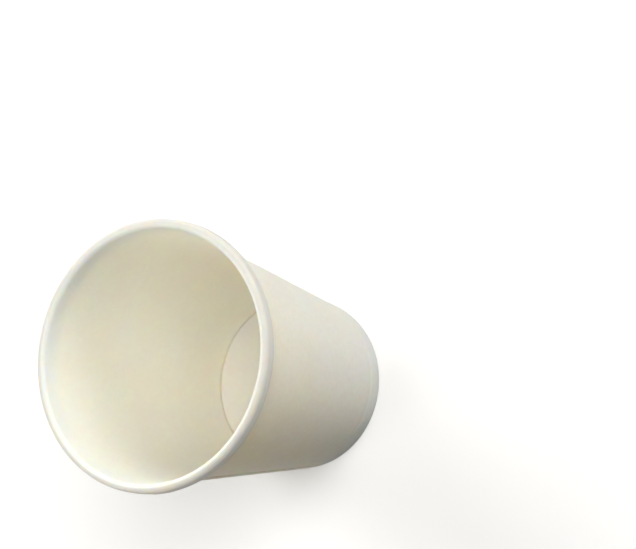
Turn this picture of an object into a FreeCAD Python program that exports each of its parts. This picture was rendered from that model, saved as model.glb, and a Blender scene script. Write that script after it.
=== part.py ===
# Single-wall paper cup for hot drinks, in two pieces of coated board.
# The sidewall is one sheet: a cone with an overlapped side seam, a rolled rim and a turned-in foot.
# The bottom is a flat disc with its skirt turned down, held between the wall and the hem of the foot.
# Frame: origin at the centre of the foot's resting plane, +Z along the axis towards the mouth, in mm.

import FreeCAD, Part
import math
import os

import Sketcher

sizes = {
    "rimDiameter": 75.0,         # outside of the rolled rim
    "baseDiameter": 53.0,        # outside of the foot, at the resting plane
    "cupHeight": 88.0,           # resting plane to the crown of the rim
    "rimHeight": 4.2,            # crown to underside of the rolled rim
    "rimOverhang": 2.6,          # how far the rolled rim stands out past the wall under it
    "rimCrownRadius": 0.9,       # inside the roll, over the top
    "rimLowerRadius": 0.5,       # inside the roll, at its two lower corners
    "rimTuck": 1.8,              # how far the sheet's edge turns back up inside the roll
    "rimClearance": 0.1,         # rolled edge to wall
    "boardThickness": 0.35,      # sidewall sheet
    "bottomThickness": 0.3,      # bottom sheet
    "bandHeight": 7.3,           # top of the pressed foot band
    "bandFlare": 0.63,           # how much wider in radius the foot band is at its top
    "foldInsideRadius": 0.05,    # inside of the fold at the foot
    "hemHeight": 5.4,            # top edge of the turned-in hem
    "recessDepth": 6.1,          # resting plane to the underside of the bottom disc
    "bottomBendRadius": 0.4,     # inside the bend between disc and skirt
    "skirtGap": 0.15,            # lower edge of the skirt to the inside of the fold
    "seamAngle": 13.0,           # angle that the side seam's overlap covers
    "seamStepOutside": 0.18,     # how far the overlap stands proud of the wall outside
    "seamStepInside": 0.1,       # how far it stands proud inside the cup and on the rim
    "seamDirection": 138.0,      # where the seam's middle is, round the axis from +X
}

doc = FreeCAD.newDocument("PaperCup")
sheet = doc.addObject("Spreadsheet::Sheet", "Sizes")
for row, (alias, value) in enumerate(sizes.items(), start=1):
    sheet.set("A%d" % row, alias)
    sheet.set("B%d" % row, str(value))
    sheet.setAlias("B%d" % row, alias)
doc.recompute()

# A sketch numbers an element's points up from 1 and its own axes down from -1.
start, end, centre = range(1, 4)
x_axis, y_axis = range(-1, -3, -1)
origin = start


def segment(x1, y1, x2, y2):
    return Part.LineSegment(FreeCAD.Vector(x1, y1, 0), FreeCAD.Vector(x2, y2, 0))


def bend(x, y, radius, first, last):
    """An arc round (x, y), anticlockwise between two directions in degrees."""
    circle = Part.Circle(FreeCAD.Vector(x, y, 0), FreeCAD.Vector(0, 0, 1), radius)
    return Part.ArcOfCircle(circle, math.radians(first), math.radians(last))


def join(sketch, kind, *elements):
    sketch.addConstraint(Sketcher.Constraint(kind, *elements))


def bind(sketch, name, expression, *constraint):
    """Adds a dimension to a sketch and ties it to the sheet."""
    index = sketch.addConstraint(Sketcher.Constraint(*constraint))
    sketch.renameConstraint(index, name)
    sketch.setExpression("Constraints." + name, expression)


def sheet_path():
    """The board's outer face in section: from the hem's top edge round the foot, up the wall and round
    the hollow of the rim's roll to the sheet's rolled edge."""
    sketch = doc.addObject("Sketcher::SketchObject", "SheetPath")
    sketch.Placement = FreeCAD.Placement(FreeCAD.Vector(), FreeCAD.Rotation(FreeCAD.Vector(1, 0, 0), 90))

    # Where the elements start from. The constraints below then hold them to the sheet.
    board = sizes["boardThickness"]
    fold = board + sizes["foldInsideRadius"]
    stack = 2 * board + sizes["bottomThickness"]
    base = sizes["baseDiameter"] / 2
    band = base + sizes["bandFlare"]
    band_top = sizes["bandHeight"]
    rim = sizes["rimDiameter"] / 2
    shoulder = rim - sizes["rimOverhang"]
    under = sizes["cupHeight"] - sizes["rimHeight"]
    crown = sizes["rimCrownRadius"]
    crown_level = sizes["cupHeight"] - board - crown
    lower = sizes["rimLowerRadius"]
    lower_level = under + board + lower
    taper = (shoulder - band) / (under - band_top)
    lean = math.degrees(math.atan(taper))
    band_lean = math.degrees(math.atan((band - base) / band_top))
    crown_centre = shoulder + taper * (crown_level - under) + crown
    roll_outer = rim - board - lower
    roll_inner = shoulder + board + sizes["rimClearance"] + lower
    hem_foot = base - stack
    geometry = sketch.addGeometry([
        segment(hem_foot + taper * sizes["hemHeight"], sizes["hemHeight"], hem_foot, fold),
        bend(hem_foot + fold, fold, fold, 180 - band_lean, 270),
        segment(hem_foot + fold, 0, base - fold, 0),
        bend(base - fold, fold, fold, 270, 360 - band_lean),
        segment(base, fold, band, band_top),
        segment(band, band_top, crown_centre - crown, crown_level),
        bend(crown_centre, crown_level, crown, 0, 180 - lean),
        segment(crown_centre + crown, crown_level, roll_outer + lower, lower_level),
        bend(roll_outer, lower_level, lower, 270, 360),
        segment(roll_outer, under + board, roll_inner, under + board),
        bend(roll_inner, lower_level, lower, 180 - lean, 270),
        segment(roll_inner - lower, lower_level, roll_inner - lower, under + board + sizes["rimTuck"]),
    ], False)
    hem, hem_bend, foot, foot_bend, band_line, wall, over, outside, corner, underside, tuck, edge = geometry
    base_corner, shoulder_point = sketch.addGeometry([
        Part.Point(FreeCAD.Vector(base, 0, 0)),
        Part.Point(FreeCAD.Vector(shoulder, under, 0)),
    ], True)

    join(sketch, "Tangent", hem, end, hem_bend, start)
    join(sketch, "Tangent", hem_bend, end, foot, start)
    join(sketch, "Tangent", foot, end, foot_bend, start)
    join(sketch, "Tangent", foot_bend, end, band_line, start)
    join(sketch, "Coincident", band_line, end, wall, start)
    join(sketch, "Tangent", wall, end, over, end)
    join(sketch, "Tangent", over, start, outside, start)
    join(sketch, "Tangent", outside, end, corner, end)
    join(sketch, "Tangent", corner, start, underside, start)
    join(sketch, "Tangent", underside, end, tuck, end)
    join(sketch, "Tangent", tuck, start, edge, start)
    join(sketch, "PointOnObject", foot, start, x_axis)
    join(sketch, "Horizontal", foot)
    join(sketch, "Horizontal", underside)
    join(sketch, "Parallel", hem, band_line)
    join(sketch, "Parallel", edge, wall)
    join(sketch, "PointOnObject", base_corner, start, x_axis)
    join(sketch, "PointOnObject", base_corner, start, band_line)
    join(sketch, "PointOnObject", shoulder_point, start, wall)
    join(sketch, "Equal", corner, tuck)
    join(sketch, "Equal", foot_bend, hem_bend)

    bind(sketch, "baseRadius", "Sizes.baseDiameter / 2",
         "DistanceX", x_axis, origin, base_corner, start, base)
    bind(sketch, "bandRadius", "Sizes.baseDiameter / 2 + Sizes.bandFlare",
         "DistanceX", x_axis, origin, band_line, end, band)
    bind(sketch, "bandTop", "Sizes.bandHeight",
         "DistanceY", x_axis, origin, band_line, end, band_top)
    bind(sketch, "shoulderRadius", "Sizes.rimDiameter / 2 - Sizes.rimOverhang",
         "DistanceX", x_axis, origin, shoulder_point, start, shoulder)
    bind(sketch, "shoulderLevel", "Sizes.cupHeight - Sizes.rimHeight",
         "DistanceY", x_axis, origin, shoulder_point, start, under)
    bind(sketch, "footBend", "Sizes.boardThickness + Sizes.foldInsideRadius",
         "Radius", foot_bend, fold)
    bind(sketch, "footStack", "2 * Sizes.boardThickness + Sizes.bottomThickness",
         "Distance", hem, start, band_line, stack)
    bind(sketch, "hemTop", "Sizes.hemHeight",
         "DistanceY", x_axis, origin, hem, start, sizes["hemHeight"])
    bind(sketch, "crownRadius", "Sizes.rimCrownRadius",
         "Radius", over, crown)
    bind(sketch, "crownLevel", "Sizes.cupHeight - Sizes.boardThickness - Sizes.rimCrownRadius",
         "DistanceY", x_axis, origin, over, centre, crown_level)
    bind(sketch, "lowerRadius", "Sizes.rimLowerRadius",
         "Radius", corner, lower)
    bind(sketch, "lowerLevel",
         "Sizes.cupHeight - Sizes.rimHeight + Sizes.boardThickness + Sizes.rimLowerRadius",
         "DistanceY", x_axis, origin, corner, centre, lower_level)
    bind(sketch, "lowerReach", "Sizes.rimDiameter / 2 - Sizes.boardThickness - Sizes.rimLowerRadius",
         "DistanceX", x_axis, origin, corner, centre, roll_outer)
    bind(sketch, "edgeGap", "Sizes.boardThickness + Sizes.rimClearance",
         "Distance", edge, start, wall, board + sizes["rimClearance"])
    bind(sketch, "edgeTop", "Sizes.cupHeight - Sizes.rimHeight + Sizes.boardThickness + Sizes.rimTuck",
         "DistanceY", x_axis, origin, edge, end, under + board + sizes["rimTuck"])
    return sketch


def layer(name, path, thickness):
    """A layer of board to one side of the path, turned round the axis."""
    section = doc.addObject("Part::Offset2D", name + "Section")
    section.Source = path
    section.Mode = "Skin"
    section.Join = "Intersection"
    section.Fill = True
    section.setExpression("Value", thickness)
    turned = doc.addObject("Part::Revolution", name)
    turned.Source = section
    turned.Axis = FreeCAD.Vector(0, 0, 1)
    turned.Solid = True
    return turned


def overlap(name, path, thickness, clear_to):
    """A layer over the seam's angle only, cut away up to a level."""
    depth = 1.0
    turned = layer(name + "Layer", path, thickness)
    turned.Symmetric = True
    turned.setExpression("Angle", "Sizes.seamAngle")
    below = doc.addObject("Part::Cylinder", name + "Below")
    below.Placement.Base.z = -depth
    below.setExpression("Radius", "Sizes.rimDiameter")
    below.setExpression("Height", "%g + %s" % (depth, clear_to))
    kept = doc.addObject("Part::Cut", name)
    kept.Base = turned
    kept.Tool = below
    return kept


def sidewall():
    """The wrapped, rolled and folded sheet, with the double layer of its side seam. The overlap shows
    outside down to the foot, which is pressed flat where it stands, and inside down to the bottom."""
    path = sheet_path()
    fused = doc.addObject("Part::MultiFuse", "Sidewall")
    fused.Label = "sidewall"
    fused.Shapes = [
        layer("Board", path, "Sizes.boardThickness"),
        overlap("OverlapOutside", path, "-Sizes.seamStepOutside", "0"),
        overlap("OverlapInside", path, "Sizes.boardThickness + Sizes.seamStepInside", "Sizes.bandHeight"),
    ]
    fused.Placement = FreeCAD.Placement(FreeCAD.Vector(), FreeCAD.Rotation(FreeCAD.Vector(0, 0, 1), 1))
    fused.setExpression("Placement.Rotation.Angle", "Sizes.seamDirection")
    return fused


def bottom_disc():
    """The bottom pan. Its skirt lies face to face between the wall and the hem."""
    body = doc.addObject("PartDesign::Body", "BottomDisc")
    body.Label = "bottom_disc"
    plane = next(item for item in body.Origin.OriginFeatures if item.Role == "XZ_Plane")
    sketch = body.newObject("Sketcher::SketchObject", "PanSection")
    sketch.AttachmentSupport = [(plane, "")]
    sketch.MapMode = "FlatFace"

    board = sizes["boardThickness"]
    thickness = sizes["bottomThickness"]
    base = sizes["baseDiameter"] / 2
    band = base + sizes["bandFlare"]
    band_top = sizes["bandHeight"]
    lean = math.degrees(math.atan((band - base) / band_top))
    radius = sizes["bottomBendRadius"]
    recess = sizes["recessDepth"]
    skirt_end = board + sizes["skirtGap"]
    outer = base - board
    inner = outer - thickness
    geometry = sketch.addGeometry([
        segment(0, recess, inner - radius, recess),
        bend(inner - radius, recess - radius, radius, 360 - lean, 90),
        segment(inner, recess - radius, inner, skirt_end),
        segment(inner, skirt_end, outer, skirt_end),
        segment(outer, skirt_end, outer, recess - radius),
        bend(inner - radius, recess - radius, radius + thickness, 360 - lean, 90),
        segment(inner - radius, recess + thickness, 0, recess + thickness),
        segment(0, recess + thickness, 0, recess),
    ], False)
    underside, inner_bend, inner_skirt, skirt_edge, outer_skirt, outer_bend, top, middle = geometry
    band_line, = sketch.addGeometry([segment(base, 0, band, band_top)], True)

    join(sketch, "Tangent", underside, end, inner_bend, end)
    join(sketch, "Tangent", inner_bend, start, inner_skirt, start)
    join(sketch, "Coincident", inner_skirt, end, skirt_edge, start)
    join(sketch, "Coincident", skirt_edge, end, outer_skirt, start)
    join(sketch, "Tangent", outer_skirt, end, outer_bend, start)
    join(sketch, "Tangent", outer_bend, end, top, start)
    join(sketch, "Coincident", top, end, middle, start)
    join(sketch, "Coincident", middle, end, underside, start)
    join(sketch, "Coincident", inner_bend, centre, outer_bend, centre)
    join(sketch, "Horizontal", underside)
    join(sketch, "Horizontal", top)
    join(sketch, "Vertical", middle)
    join(sketch, "PointOnObject", middle, start, y_axis)
    join(sketch, "Perpendicular", skirt_edge, outer_skirt)
    join(sketch, "Parallel", outer_skirt, band_line)
    join(sketch, "Parallel", inner_skirt, band_line)
    join(sketch, "PointOnObject", band_line, start, x_axis)

    bind(sketch, "baseRadius", "Sizes.baseDiameter / 2",
         "DistanceX", x_axis, origin, band_line, start, base)
    bind(sketch, "bandRadius", "Sizes.baseDiameter / 2 + Sizes.bandFlare",
         "DistanceX", x_axis, origin, band_line, end, band)
    bind(sketch, "bandTop", "Sizes.bandHeight",
         "DistanceY", x_axis, origin, band_line, end, band_top)
    bind(sketch, "skirtSeat", "Sizes.boardThickness",
         "Distance", outer_skirt, start, band_line, board)
    bind(sketch, "skirtEnd", "Sizes.boardThickness + Sizes.skirtGap",
         "DistanceY", x_axis, origin, outer_skirt, start, skirt_end)
    bind(sketch, "recess", "Sizes.recessDepth",
         "DistanceY", x_axis, origin, underside, start, recess)
    bind(sketch, "thickness", "Sizes.bottomThickness",
         "DistanceY", underside, start, top, end, thickness)
    bind(sketch, "bendRadius", "Sizes.bottomBendRadius",
         "Radius", inner_bend, radius)

    pan = body.newObject("PartDesign::Revolution", "Pan")
    pan.Profile = sketch
    pan.ReferenceAxis = (sketch, ["V_Axis"])
    pan.Angle = 360
    return body


parts = [sidewall(), bottom_disc()]
doc.recompute()

for item in doc.Objects:
    if "Invalid" in item.State or "Error" in item.State:
        raise RuntimeError("%s failed: %s" % (item.Label, item.State))
for part in parts:
    if part.Shape.isNull() or not part.Shape.isValid() or len(part.Shape.Solids) != 1:
        raise RuntimeError("%s is not one valid solid" % part.Label)

os.makedirs("parts", exist_ok=True)
for part in parts:
    part.Shape.exportStep("parts/%s.step" % part.Label)
    box = part.Shape.BoundBox
    print("%s: %.1f mm3, z %.3f to %.3f, x %.3f to %.3f" % (
        part.Label, part.Shape.Volume, box.ZMin, box.ZMax, box.XMin, box.XMax))
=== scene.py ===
import math

import bpy
from mathutils import Matrix, Vector


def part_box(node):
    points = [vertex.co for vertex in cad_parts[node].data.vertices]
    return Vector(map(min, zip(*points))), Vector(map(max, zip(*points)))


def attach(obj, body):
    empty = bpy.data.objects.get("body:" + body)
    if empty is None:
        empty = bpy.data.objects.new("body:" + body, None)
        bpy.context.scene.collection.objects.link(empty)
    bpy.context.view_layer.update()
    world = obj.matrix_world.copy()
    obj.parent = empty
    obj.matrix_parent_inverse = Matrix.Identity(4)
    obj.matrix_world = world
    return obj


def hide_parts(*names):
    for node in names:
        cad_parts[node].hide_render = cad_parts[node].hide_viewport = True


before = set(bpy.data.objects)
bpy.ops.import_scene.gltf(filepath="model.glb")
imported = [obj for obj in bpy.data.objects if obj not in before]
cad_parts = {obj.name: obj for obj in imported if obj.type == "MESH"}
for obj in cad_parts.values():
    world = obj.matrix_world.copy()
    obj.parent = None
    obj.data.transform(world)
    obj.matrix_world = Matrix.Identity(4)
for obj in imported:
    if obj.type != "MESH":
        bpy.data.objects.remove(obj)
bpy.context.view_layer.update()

mm = 0.001
wallLow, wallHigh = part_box("sidewall")
print("frame loaded")

# Lengths are in millimetres, angles in degrees, levels from the plane that the cup stands on.
cup = {
    "rimRadius": min(-wallLow.x, -wallLow.y, wallHigh.x, wallHigh.y) / mm,
    "height": 88.0,              # crown of the rim, beside the seam
    "baseRadius": 26.5,
    "bandHeight": 7.3,           # top of the pressed foot band
    "bandFlare": 0.63,
    "board": 0.35,
    "seamDirection": 138.0,      # round the axis from +X
    "seamAngle": 13.0,
    "sharpAngle": 28.0,          # edges sharper than this stay crisp
}


def selectOnly(piece):
    if bpy.context.mode != "OBJECT":
        bpy.ops.object.mode_set(mode="OBJECT")
    bpy.ops.object.select_all(action="DESELECT")
    piece.select_set(True)
    bpy.context.view_layer.objects.active = piece


def applyModifier(piece, kind, **settings):
    selectOnly(piece)
    modifier = piece.modifiers.new(kind.title(), kind)
    for name, value in settings.items():
        setattr(modifier, name, value)
    bpy.ops.object.modifier_apply(modifier=modifier.name)


def smoothFaces(piece):
    selectOnly(piece)
    bpy.ops.object.shade_smooth_by_angle(angle=math.radians(cup["sharpAngle"]))


# The level direction at an angle round the axis from +X.
def outwards(direction):
    angle = math.radians(direction)
    return Vector((math.cos(angle), math.sin(angle), 0))


# 0 below the first value and 1 above the second, with a soft passage between them.
def smooth(value, low, high):
    share = min(max((value - low) / (high - low), 0), 1)
    return share * share * (3 - 2 * share)


# Points of an arc in the section's plane, from one direction to another.
def arcPoints(centre, radius, first, last, steps):
    points = []
    for step in range(steps + 1):
        angle = math.radians(first + (last - first) * step / steps)
        points.append((centre[0] + radius * math.cos(angle), centre[1] + radius * math.sin(angle)))
    return points


# Points of a straight run up to the next stretch, without its own last point.
def runPoints(start, end, spacing):
    steps = max(1, round(math.dist(start, end) / spacing))
    return [(start[0] + (end[0] - start[0]) * step / steps, start[1] + (end[1] - start[1]) * step / steps)
            for step in range(steps)]


# A sheet turned round the cup's axis from the section of one of its faces, which is drawn with the board
# on its left. The section starts as a plane merged to one point, and is extruded on and then spun.
def spunSheet(name, section, columns, direction):
    across = outwards(direction)
    places = [(across * radius + Vector((0, 0, level))) * mm for radius, level in section]
    bpy.ops.object.select_all(action="DESELECT")
    bpy.ops.mesh.primitive_plane_add(size=mm, location=places[0])
    piece = bpy.context.object
    piece.name = piece.data.name = name
    bpy.ops.object.transform_apply(location=True)
    bpy.ops.object.mode_set(mode="EDIT")
    bpy.ops.mesh.select_mode(type="VERT")
    bpy.ops.mesh.select_all(action="SELECT")
    bpy.ops.mesh.merge(type="CENTER")
    for before, after in zip(places, places[1:]):
        bpy.ops.mesh.extrude_region_move(TRANSFORM_OT_translate={"value": after - before})
    bpy.ops.mesh.select_all(action="SELECT")
    bpy.ops.mesh.spin(steps=columns, angle=math.tau, center=(0, 0, 0), axis=(0, 0, 1))
    bpy.ops.mesh.select_all(action="SELECT")
    bpy.ops.mesh.remove_doubles(threshold=0.002 * mm)    # closes the turn, and the middle of a disc
    bpy.ops.mesh.normals_make_consistent(inside=False)
    bpy.ops.object.mode_set(mode="OBJECT")

    # The drawn face points away from the board, which the first row of faces shows
    right = Vector((-across.y, across.x, 0)).cross(places[1] - places[0])
    middle = (places[0] + places[1]) / 2
    start = min(piece.data.polygons, key=lambda face: (face.center - middle).length)
    if start.normal.dot(right) < 0:
        bpy.ops.object.mode_set(mode="EDIT")
        bpy.ops.mesh.select_all(action="SELECT")
        bpy.ops.mesh.flip_normals()
        bpy.ops.object.mode_set(mode="OBJECT")
    return piece


# Weights from 0 to 1 for the points that some faces use, by their place.
def weighPoints(piece, name, weightAt, side=None):
    group = piece.vertex_groups.new(name=name)
    used = {index for face in piece.data.polygons if side is None or face.material_index == side
            for index in face.vertices}
    for index in sorted(used):
        weight = weightAt(piece.data.vertices[index].co)
        if weight > 0:
            group.add([index], weight, "REPLACE")
    return group.name


# Slight waves, as formed board keeps them, out and in about the middle value.
def waveSheet(piece, name, values, middle, weightAt):
    ripple = bpy.data.textures.new(name, "CLOUDS")
    ripple.noise_scale = values["waveLength"] * mm
    ripple.noise_depth = values["waveDetail"]
    group = weighPoints(piece, "wave_field", weightAt)
    applyModifier(piece, "DISPLACE", texture=ripple, strength=values["waviness"] * mm, mid_level=middle,
                  texture_coords="LOCAL", vertex_group=group)


# Gives a sheet its thickness, with a finish for the drawn face, the other face and the cut edges.
def thickenSheet(piece, board, drawn, other, edge):
    for material in (drawn, other, edge):
        piece.data.materials.append(material)
    applyModifier(piece, "SOLIDIFY", thickness=board * mm, offset=-1, use_even_offset=True,
                  use_quality_normals=True, material_offset=1, material_offset_rim=2)


# A number that comes out of a node, so that shader maths can be written as plain expressions.
class Number:
    def __init__(self, finish, output):
        self.finish = finish
        self.output = output

    def maths(self, operation, first, second=None):
        node = self.finish.node("ShaderNodeMath", {"operation": operation}, {0: first, 1: second})
        return Number(self.finish, node.outputs[0])

    def __add__(self, other):
        return self.maths("ADD", self, other)

    def __radd__(self, other):
        return self.maths("ADD", other, self)

    def __sub__(self, other):
        return self.maths("SUBTRACT", self, other)

    def __rsub__(self, other):
        return self.maths("SUBTRACT", other, self)

    def __mul__(self, other):
        return self.maths("MULTIPLY", self, other)

    def __rmul__(self, other):
        return self.maths("MULTIPLY", other, self)

    def __truediv__(self, other):
        return self.maths("DIVIDE", self, other)

    def __rtruediv__(self, other):
        return self.maths("DIVIDE", other, self)

    def __pow__(self, other):
        return self.maths("POWER", self, other)

    def __gt__(self, other):
        return self.maths("GREATER_THAN", self, other)

    def __abs__(self):
        return self.maths("ABSOLUTE", self)


# One material and the nodes that make it.
class Finish:
    def __init__(self, name):
        self.material = bpy.data.materials.new(name)
        self.material.use_nodes = True
        self.tree = self.material.node_tree
        self.tree.nodes.clear()

    # Any node: its kind, its settings, and the values or links of its sockets by name or number.
    def node(self, kind, settings=None, sockets=None):
        node = self.tree.nodes.new(kind)
        for name, value in (settings or {}).items():
            setattr(node, name, value)
        for key, value in (sockets or {}).items():
            if value is None:
                continue
            if isinstance(value, Number):
                value = value.output
            if isinstance(value, bpy.types.NodeSocket):
                self.tree.links.new(value, node.inputs[key])
            else:
                node.inputs[key].default_value = value
        return node

    # The place on the piece in millimetres, as a vector.
    def place(self):
        objectPlace = self.node("ShaderNodeTexCoord").outputs["Object"]
        scaled = self.node("ShaderNodeVectorMath", {"operation": "SCALE"}, {0: objectPlace, "Scale": 1 / mm})
        return scaled.outputs[0]

    # The three numbers of a vector.
    def parts(self, vector):
        node = self.node("ShaderNodeSeparateXYZ", None, {0: vector})
        return [Number(self, output) for output in node.outputs]

    def noise(self, place, size, detail, stretch=(1, 1, 1)):
        if stretch != (1, 1, 1):
            mapping = self.node("ShaderNodeMapping", None, {"Vector": place, "Scale": stretch})
            place = mapping.outputs[0]
        node = self.node("ShaderNodeTexNoise", None, {"Vector": place, "Scale": 1 / size, "Detail": detail})
        return Number(self, node.outputs[0])

    # 0 below the first value and 1 above the second, with a soft passage between them.
    def passage(self, value, low, high):
        node = self.node("ShaderNodeMapRange", {"interpolation_type": "SMOOTHSTEP"},
                         {"Value": value, "From Min": low, "From Max": high})
        return Number(self, node.outputs[0])

    def blend(self, share, first, second, kind="MIX"):
        colours = [(*colour, 1) if isinstance(colour, tuple) else colour for colour in (first, second)]
        node = self.node("ShaderNodeMix", {"data_type": "RGBA", "blend_type": kind},
                         {0: share, 6: colours[0], 7: colours[1]})
        return node.outputs[2]

    def relief(self, height, depth):
        node = self.node("ShaderNodeBump", None, {"Height": height, "Distance": depth * mm, "Strength": 1.0})
        return node.outputs[0]

    def surface(self, **sockets):
        names = {name.replace("_", " "): value for name, value in sockets.items()}
        shader = self.node("ShaderNodeBsdfPrincipled", None, names)
        self.node("ShaderNodeOutputMaterial", None, {"Surface": shader.outputs[0]})
        return self.material


# The bare board, as on the outside of the wall.
paper = {
    "light": (0.912, 0.892, 0.81),
    "shade": (0.885, 0.856, 0.75),
    "flocSize": 1.6,             # cloudy formation of the pulp
    "fibreSize": 0.22,
    "fibreStretch": (1, 1, 0.3),
    "cloudSize": 12.0,           # broad unevenness of the sheet
    "toneRange": (0.38, 0.62),
    "depth": 0.02,
    "roughness": (0.72, 0.16),   # least, and how much the fibres add
    "bleed": 0.66,               # how far light runs inside the board
    "bleedColour": (1.0, 0.75, 0.44),
    # painted shade: the seam's double board is darkened, as it lets less light through from inside
    "lapPaintedShade": (0.93, 0.92, 0.86),
    "lapPassage": 0.15,          # degrees over which the seam's painted shade sets in
    "lapFoot": (-0.6, 0.2),      # levels over which it sets in, from the top of the foot band
}


# The strip of double board above the foot, darkened with painted shade, as the double board lets less light
# through from inside.
def lapPaintedShadeMask(finish, place):
    x, y, z = finish.parts(place)
    across = outwards(cup["seamDirection"])
    along = x * across.x + y * across.y
    aside = y * across.x - x * across.y
    half = cup["seamAngle"] / 2
    share = abs(aside / along) / math.tan(math.radians(half))
    strip = (1 - finish.passage(share, 1 - paper["lapPassage"] / half, 1)) * (along > 0)
    low, high = paper["lapFoot"]
    return strip * finish.passage(z, cup["bandHeight"] + low, cup["bandHeight"] + high)


def boardOutside():
    finish = Finish("board_outside")
    place = finish.place()
    flocs = finish.noise(place, paper["flocSize"], 3.0)
    fibres = finish.noise(place, paper["fibreSize"], 4.0, paper["fibreStretch"])
    clouds = finish.noise(place, paper["cloudSize"], 2.0)
    share = finish.passage(flocs * 0.5 + fibres * 0.3 + clouds * 0.2, *paper["toneRange"])
    colour = finish.blend(share, paper["shade"], paper["light"])
    # Painted shade: the double board at the seam is darkened, as it lets less light through.
    colour = finish.blend(lapPaintedShadeMask(finish, place), colour, paper["lapPaintedShade"], "MULTIPLY")
    least, added = paper["roughness"]
    bump = finish.relief(fibres * 0.7 + flocs * 0.6, paper["depth"])
    return finish.surface(Base_Color=colour, Roughness=least + fibres * added, Normal=bump,
                          Subsurface_Weight=1.0, Subsurface_Radius=paper["bleedColour"],
                          Subsurface_Scale=paper["bleed"] * mm)


# The coated board, as on the inside of the cup and on the roll.
coating = {
    "light": (0.96, 0.92, 0.835),
    "shade": (0.94, 0.893, 0.795),
    "fibreGrowth": 1.6,          # the coating hides the finest fibres
    "cloudSize": 15.0,
    "toneRange": (0.36, 0.64),
    "depth": 0.01,
    "roughness": (0.46, 0.12),
    "joint": (0.62, 0.49, 0.33),    # where the coating has run together round the bottom
    "jointShare": 0.15,
    "jointLow": (6.0, 6.25),     # levels between which it sets in, and fades again
    "jointHigh": (6.4, 6.65),
    "jointRadius": (26.0, 26.3),
    "rollPaintedShade": (0.82, 0.82, 0.82),    # painted shade: the roll is darkened, as the hollow roll lets light through and looks dimmer than a flat sheet
    "rollLevel": (83.0, 84.5),
    "rollRadius": (35.2, 35.9),    # at the roll's underside, and larger above it by the lean
    "rollLean": 0.11,
}


# The joint's tint in the corner, and the roll's share of the surface, where shade is painted.
def coatedMasks(finish, place):
    x, y, z = finish.parts(place)
    radius = (x * x + y * y) ** 0.5
    above = finish.passage(z, *coating["jointLow"])
    below = 1 - finish.passage(z, *coating["jointHigh"])
    joint = above * below * finish.passage(radius, *coating["jointRadius"])
    under = cup["height"] - wall["rimHeight"]
    reach = radius - (z - under) * coating["rollLean"]
    roll = finish.passage(reach, *coating["rollRadius"]) * finish.passage(z, *coating["rollLevel"])
    return joint * coating["jointShare"], roll


def boardCoated(name, bleed):
    finish = Finish(name)
    place = finish.place()
    flocs = finish.noise(place, paper["flocSize"], 3.0)
    fibres = finish.noise(place, paper["fibreSize"] * coating["fibreGrowth"], 3.0, paper["fibreStretch"])
    clouds = finish.noise(place, coating["cloudSize"], 2.0)
    share = finish.passage(flocs * 0.4 + fibres * 0.2 + clouds * 0.4, *coating["toneRange"])
    joint, roll = coatedMasks(finish, place)
    colour = finish.blend(share, coating["shade"], coating["light"])
    colour = finish.blend(joint, colour, coating["joint"])
    # Painted shade: the roll is darkened, as the hollow roll looks dimmer than a flat sheet.
    colour = finish.blend(roll, colour, coating["rollPaintedShade"], "MULTIPLY")
    least, added = coating["roughness"]
    bump = finish.relief(fibres * 0.5 + flocs, coating["depth"])
    return finish.surface(Base_Color=colour, Roughness=least + flocs * added, Normal=bump,
                          Subsurface_Weight=1.0, Subsurface_Radius=paper["bleedColour"],
                          Subsurface_Scale=bleed * mm)


cutEdge = {
    "tone": (0.84, 0.79, 0.68),
    "plySize": 0.08,
    "plyStretch": (1, 1, 2.5),
    "toneRange": (0.35, 0.65),
    "depth": 0.03,
    "roughness": 0.9,
}


def boardEdge():
    finish = Finish("board_edge")
    plies = finish.noise(finish.place(), cutEdge["plySize"], 3.0, cutEdge["plyStretch"])
    colour = finish.blend(finish.passage(plies, *cutEdge["toneRange"]), cutEdge["tone"], paper["shade"])
    bump = finish.relief(plies, cutEdge["depth"])
    return finish.surface(Base_Color=colour, Roughness=cutEdge["roughness"], Normal=bump)


# Sidewall: one sheet with a rolled rim, a lapped side seam and a turned-in foot.
wall = {
    "columns": 360,
    "rowSpacing": 2.6,
    "foldRadius": 0.4,           # outside of the fold at the foot
    "foldSteps": 8,
    "footStack": 1.0,            # wall, skirt and hem face to face
    "hemHeight": 5.4,
    "bandGroove": 0.05,          # pressed line at the top of the foot band
    "grooveWidth": 0.5,
    "rimHeight": 4.2,
    "rimOverhang": 2.6,
    "crownRadius": 0.94,
    "crownSteps": 16,
    "lowerRadius": 0.78,
    "lowerSteps": 9,
    "tuckSteps": 7,
    "rollSpacing": 0.5,
    "rimTuck": 1.8,
    "rimGap": 0.45,              # wall's face to the rolled edge's far face
    "waviness": 0.12,
    "waveLength": 26.0,
    "waveDetail": 1,
    "waveLow": (8.3, 30.0),      # levels between which the waves set in, and fade again
    "waveHigh": (60.0, 82.0),
}


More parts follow.
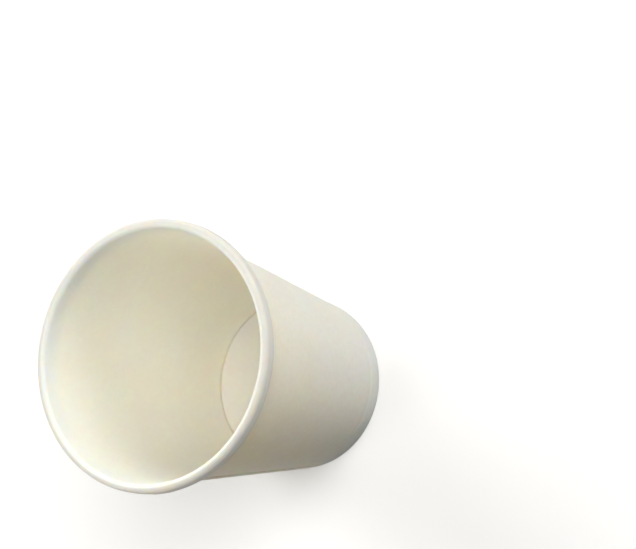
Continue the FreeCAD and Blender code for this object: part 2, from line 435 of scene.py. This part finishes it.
def wallSection():
    fold = wall["foldRadius"]
    base = cup["baseRadius"]
    bandTop = cup["bandHeight"]
    band = base + cup["bandFlare"]
    under = cup["height"] - wall["rimHeight"]
    shoulder = cup["rimRadius"] - wall["rimOverhang"]
    bandSlope = (band - base) / bandTop
    bandLean = math.degrees(math.atan(bandSlope))
    bandSecant = math.hypot(1, bandSlope)
    wallSlope = (shoulder - band) / (under - bandTop)
    wallLean = math.degrees(math.atan(wallSlope))
    wallSecant = math.hypot(1, wallSlope)
    hemFoot = base - wall["footStack"] * bandSecant
    crown = wall["crownRadius"]
    crownLevel = cup["height"] - cup["board"] - crown
    lower = wall["lowerRadius"]
    lowerLevel = under + cup["board"] + lower

    def bandAt(level):
        return base + bandSlope * level

    def wallAt(level):
        return band + wallSlope * (level - bandTop)

    hemBend = (hemFoot + bandSlope * fold + fold * bandSecant, fold)
    footBend = (bandAt(fold) - fold * bandSecant, fold)
    crownBend = (wallAt(crownLevel) + crown * wallSecant, crownLevel)
    outerBend = (cup["rimRadius"] - cup["board"] - lower, lowerLevel)
    tuckBend = (wallAt(lowerLevel) + (wall["rimGap"] + lower) * wallSecant, lowerLevel)
    hemTop = (hemFoot + bandSlope * wall["hemHeight"], wall["hemHeight"])
    edgeLevel = under + cup["board"] + wall["rimTuck"]
    edgeTop = (wallAt(edgeLevel) + wall["rimGap"] * wallSecant, edgeLevel)
    half = wall["grooveWidth"] / 2
    groove = [
        (bandAt(bandTop - half), bandTop - half),
        (band - wall["bandGroove"], bandTop),
        (wallAt(bandTop + half), bandTop + half),
    ]

    hemFold = arcPoints(hemBend, fold, 180 - bandLean, 270, wall["foldSteps"])
    footFold = arcPoints(footBend, fold, -90, -bandLean, wall["foldSteps"])
    crownRoll = arcPoints(crownBend, crown, 180 - wallLean, 2, wall["crownSteps"])
    outerRoll = arcPoints(outerBend, lower, 4, -90, wall["lowerSteps"])
    tuckRoll = arcPoints(tuckBend, lower, 270, 180 - wallLean, wall["tuckSteps"])
    section = runPoints(hemTop, hemFold[0], wall["rowSpacing"])
    section += hemFold
    section += footFold[:-1]
    section += runPoints(footFold[-1], groove[0], wall["rowSpacing"])
    section += groove[:-1]
    section += runPoints(groove[-1], crownRoll[0], wall["rowSpacing"])
    section += crownRoll[:-1]
    section += runPoints(crownRoll[-1], outerRoll[0], wall["rollSpacing"])
    section += outerRoll
    section += tuckRoll[:-1]
    section += runPoints(tuckRoll[-1], edgeTop, wall["rollSpacing"])
    section.append(edgeTop)
    return section


# Cuts one more column of edges beside a radial plane, so that a step there is sharp.
def cutColumn(piece, direction):
    selectOnly(piece)
    radial = outwards(direction)
    normal = Vector((-radial.y, radial.x, 0))
    near = 4 * cup["rimRadius"] * mm * math.pi / wall["columns"]    # two columns at the rim
    bpy.ops.object.mode_set(mode="EDIT")
    bpy.ops.mesh.select_mode(type="FACE")
    bpy.ops.mesh.select_all(action="DESELECT")
    bpy.ops.object.mode_set(mode="OBJECT")
    for face in piece.data.polygons:
        face.select = face.center.dot(radial) > 0 and abs(face.center.dot(normal)) < near
    bpy.ops.object.mode_set(mode="EDIT")
    bpy.ops.mesh.bisect(plane_co=(0, 0, 0), plane_no=normal, threshold=0.0001 * mm)
    bpy.ops.mesh.select_all(action="DESELECT")
    bpy.ops.object.mode_set(mode="OBJECT")


# Side seam: the sheet's two edges lapped, one showing outside and the other inside.
lap = {
    "stepOutside": 0.18,
    "stepInside": 0.09,
    "softWidth": 3.2,            # degrees over which the sheet climbs on to its other edge
    "edgeWidth": 0.04,           # degrees that a cut edge takes up
    "bandShare": 0.6,            # how much of the outside step is left where the foot is pressed
    "bandEnds": (-1.0, 2.0),     # levels over which the pressed part ends, from the band's top
    "footLevel": (0.3, 1.2),     # levels over which the outside step sets in
    "rimLevel": (83.6, 84.6),    # levels over which it ends, inside the roll
    "innerStart": 0.6,           # the inside step sets in this far under the band's top
    "tuckLevel": 86.0,           # the tucked-up edge of the roll has no inside step
    "tuckRadius": (35.0, 36.4),
}


# Degrees from the seam's middle, and millimetres from the axis and above the foot.
def seamPlace(point):
    turn = math.degrees(math.atan2(point.y, point.x)) - cup["seamDirection"]
    return (turn + 180) % 360 - 180, math.hypot(point.x, point.y) / mm, point.z / mm


def outsideLap(point):
    turn, _, level = seamPlace(point)
    half = cup["seamAngle"] / 2
    bandTop = cup["bandHeight"]
    share = smooth(turn, -half, -half + lap["softWidth"]) * (turn < half - lap["edgeWidth"] / 2)
    free = smooth(level, bandTop + lap["bandEnds"][0], bandTop + lap["bandEnds"][1])
    foot = smooth(level, *lap["footLevel"]) * (lap["bandShare"] + (1 - lap["bandShare"]) * free)
    return share * foot * (1 - smooth(level, *lap["rimLevel"]))


def insideLap(point):
    turn, radius, level = seamPlace(point)
    half = cup["seamAngle"] / 2
    bandTop = cup["bandHeight"]
    near, far = lap["tuckRadius"]
    if level < lap["tuckLevel"] and near < radius < far:
        return 0
    share = (1 - smooth(turn, half - lap["softWidth"], half)) * (turn > -half + lap["edgeWidth"] / 2)
    return share * smooth(level, bandTop - lap["innerStart"], bandTop)


def makeWall(outside, edge):
    half = cup["seamAngle"] / 2
    outsideEdge = cup["seamDirection"] + half
    insideEdge = cup["seamDirection"] - half
    piece = spunSheet("cup_wall", wallSection(), wall["columns"], outsideEdge)
    print("wall spun:", len(piece.data.vertices), "points")

    def waveAt(point):
        level = point.z / mm
        return smooth(level, *wall["waveLow"]) * (1 - smooth(level, *wall["waveHigh"]))

    waveSheet(piece, "board_waves", wall, 0.5, waveAt)
    thickenSheet(piece, cup["board"], outside, boardCoated("board_coated", paper["bleed"]), edge)

    for direction in (outsideEdge - lap["edgeWidth"], insideEdge, insideEdge + lap["edgeWidth"]):
        cutColumn(piece, direction)
    for name, weightAt, side, step in (("lap_outside", outsideLap, 0, lap["stepOutside"]),
                                       ("lap_inside", insideLap, 1, lap["stepInside"])):
        group = weighPoints(piece, name, weightAt, side)
        applyModifier(piece, "DISPLACE", strength=step * mm, mid_level=0, vertex_group=group)
    smoothFaces(piece)
    print("wall lapped:", len(piece.data.polygons), "faces")
    return piece


# Bottom: a pan with its skirt turned down between the wall and the hem.
pan = {
    "columns": 240,
    "board": 0.30,
    "top": 6.4,
    "sag": 0.12,
    "bendRadius": 0.36,          # outside of the bend between disc and skirt
    "bendSteps": 8,
    "skirtGap": 0.15,
    "rowSpacing": 1.6,
    "waviness": 0.1,
    "waveLength": 14.0,
    "waveDetail": 2,
    "waveRadius": (18.0, 24.0),    # the waves fade between these distances from the axis
    "bleed": 0.2,
}


# The section of the pan's upper face, from the skirt's edge to the middle.
def panSection():
    slope = cup["bandFlare"] / cup["bandHeight"]
    secant = math.hypot(1, slope)
    lean = math.degrees(math.atan(slope))
    bend = pan["bendRadius"]
    bendLevel = pan["top"] - bend
    skirtFoot = cup["board"] + pan["skirtGap"]

    def skirtAt(level):
        return cup["baseRadius"] + slope * level - cup["board"] * secant

    corner = arcPoints((skirtAt(bendLevel) - bend * secant, bendLevel), bend, -lean, 90, pan["bendSteps"])
    section = runPoints((skirtAt(skirtFoot), skirtFoot), corner[0], pan["rowSpacing"])
    section += corner[:-1]
    flat = corner[-1][0]
    steps = round(flat / pan["rowSpacing"])
    for step in range(steps + 1):
        radius = flat * (1 - step / steps)
        section.append((radius, pan["top"] - pan["sag"] * (1 - (radius / flat) ** 2) ** 2))
    return section


def makePan(outside, edge):
    piece = spunSheet("cup_bottom", panSection(), pan["columns"], cup["seamDirection"])

    def waveAt(point):
        return 1 - smooth(math.hypot(point.x, point.y) / mm, *pan["waveRadius"])

    waveSheet(piece, "bottom_waves", pan, 1, waveAt)
    thickenSheet(piece, pan["board"], boardCoated("bottom_coated", pan["bleed"]), outside, edge)
    smoothFaces(piece)
    print("bottom made:", len(piece.data.polygons), "faces")
    return piece


outsideFinish = boardOutside()
edgeFinish = boardEdge()

cupWall = makeWall(outsideFinish, edgeFinish)
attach(cupWall, "root")
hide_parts("sidewall")

cupBottom = makePan(outsideFinish, edgeFinish)
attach(cupBottom, "root")
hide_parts("bottom_disc")


# Floor and backdrop, in metres. The backdrop is there for the camera only, so it puts no light on the cup.
studio = {
    "domeRadius": 2.5,
    "floorRadius": 2.55,
    "floorTone": (0.97, 0.97, 0.965),
    "floorGrain": 0.8,           # millimetres
    "floorRoughness": 0.85,
    "floorGloss": 0.2,
    "floorGlow": 0.06,
    # Name, direction round the axis from +X, height, strength, colour
    "lamps": [
        ("key_light", -91.0, 9.0, 2.3, (1.0, 0.995, 0.99)),
        ("side_light", 0.0, 31.0, 1.55, (1.0, 0.995, 0.99)),
        ("rear_light", 80.0, 21.0, 1.35, (1.0, 0.965, 0.90)),
        ("high_light", -133.0, 61.0, 1.8, (1.0, 0.995, 0.99)),
    ],
    "lampSize": 45.0,
    "lampDistance": 2.0,
    "airStrength": 0.05,
    "airColour": (1.0, 0.97, 0.91),
}


def floorPaint():
    finish = Finish("studio_floor")
    grain = finish.noise(finish.place(), studio["floorGrain"], 2.0)
    tone = studio["floorTone"]
    colour = finish.blend(grain, tuple(part * 0.995 for part in tone), tone)
    return finish.surface(Base_Color=colour, Roughness=studio["floorRoughness"],
                          Specular_IOR_Level=studio["floorGloss"],
                          Emission_Color=(1, 1, 1, 1), Emission_Strength=studio["floorGlow"])


def backdropPaint():
    finish = Finish("studio_backdrop")
    return finish.surface(Base_Color=(0, 0, 0, 1), Roughness=1.0, Emission_Color=(1, 1, 1, 1),
                          Emission_Strength=1.0)


def makeStudio():
    bpy.ops.object.select_all(action="DESELECT")
    bpy.ops.mesh.primitive_circle_add(vertices=96, radius=studio["floorRadius"], fill_type="NGON")
    floor = bpy.context.object
    floor.name = "studio_floor"
    floor.data.materials.append(floorPaint())
    bpy.ops.object.select_all(action="DESELECT")
    bpy.ops.mesh.primitive_uv_sphere_add(segments=64, ring_count=32, radius=studio["domeRadius"])
    dome = bpy.context.object
    dome.name = "studio_backdrop"
    dome.data.materials.append(backdropPaint())
    for ray in ("diffuse", "glossy", "transmission", "shadow"):
        setattr(dome, "visible_" + ray, False)
    floor.visible_diffuse = False

    for name, direction, height, strength, colour in studio["lamps"]:
        light = bpy.data.lights.new(name, "SUN")
        light.energy = strength
        light.angle = math.radians(studio["lampSize"])
        light.color = colour
        holder = bpy.data.objects.new(name, light)
        bpy.context.collection.objects.link(holder)
        rise = math.radians(height)
        towards = outwards(direction) * math.cos(rise) + Vector((0, 0, math.sin(rise)))
        holder.rotation_euler = towards.to_track_quat("Z", "Y").to_euler()
        holder.location = towards * studio["lampDistance"]

    world = bpy.data.worlds.new("studio_air")
    bpy.context.scene.world = world
    world.use_nodes = True
    air = world.node_tree.nodes["Background"]
    air.inputs["Color"].default_value = (*studio["airColour"], 1)
    air.inputs["Strength"].default_value = studio["airStrength"]
    print("studio lit:", len(studio["lamps"]), "lamps")


# The camera stands to the cup as the photograph's does, which is rolled over because that cup lies down.
view = {
    "direction": -151.5,         # round the axis from +X
    "fromAxis": 268.0,
    "height": 477.9,
    "heading": -7.32,            # turned from the axis
    "pitch": -60.32,
    "roll": -73.07,
    "lens": 98.4,
    "sensor": 36.0,
    "nearest": 10.0,
    "farthest": 10000.0,
}


def makeCamera():
    lens = bpy.data.cameras.new("photo_camera")
    lens.sensor_width = view["sensor"]
    lens.lens = view["lens"]
    lens.clip_start = view["nearest"] * mm
    lens.clip_end = view["farthest"] * mm
    holder = bpy.data.objects.new("photo_camera", lens)
    bpy.context.collection.objects.link(holder)
    place = outwards(view["direction"]) * view["fromAxis"] + Vector((0, 0, view["height"]))
    turns = (
        ("Z", 90 + view["direction"] + view["heading"]),
        ("X", 90 + view["pitch"]),
        ("Z", view["roll"]),
    )
    turned = Matrix.Translation(place * mm)
    for axis, angle in turns:
        turned = turned @ Matrix.Rotation(math.radians(angle), 4, axis)
    holder.matrix_world = turned
    bpy.context.scene.camera = holder
    print("camera set")


makeStudio()
makeCamera()
bpy.context.scene.view_settings.view_transform = "Standard"
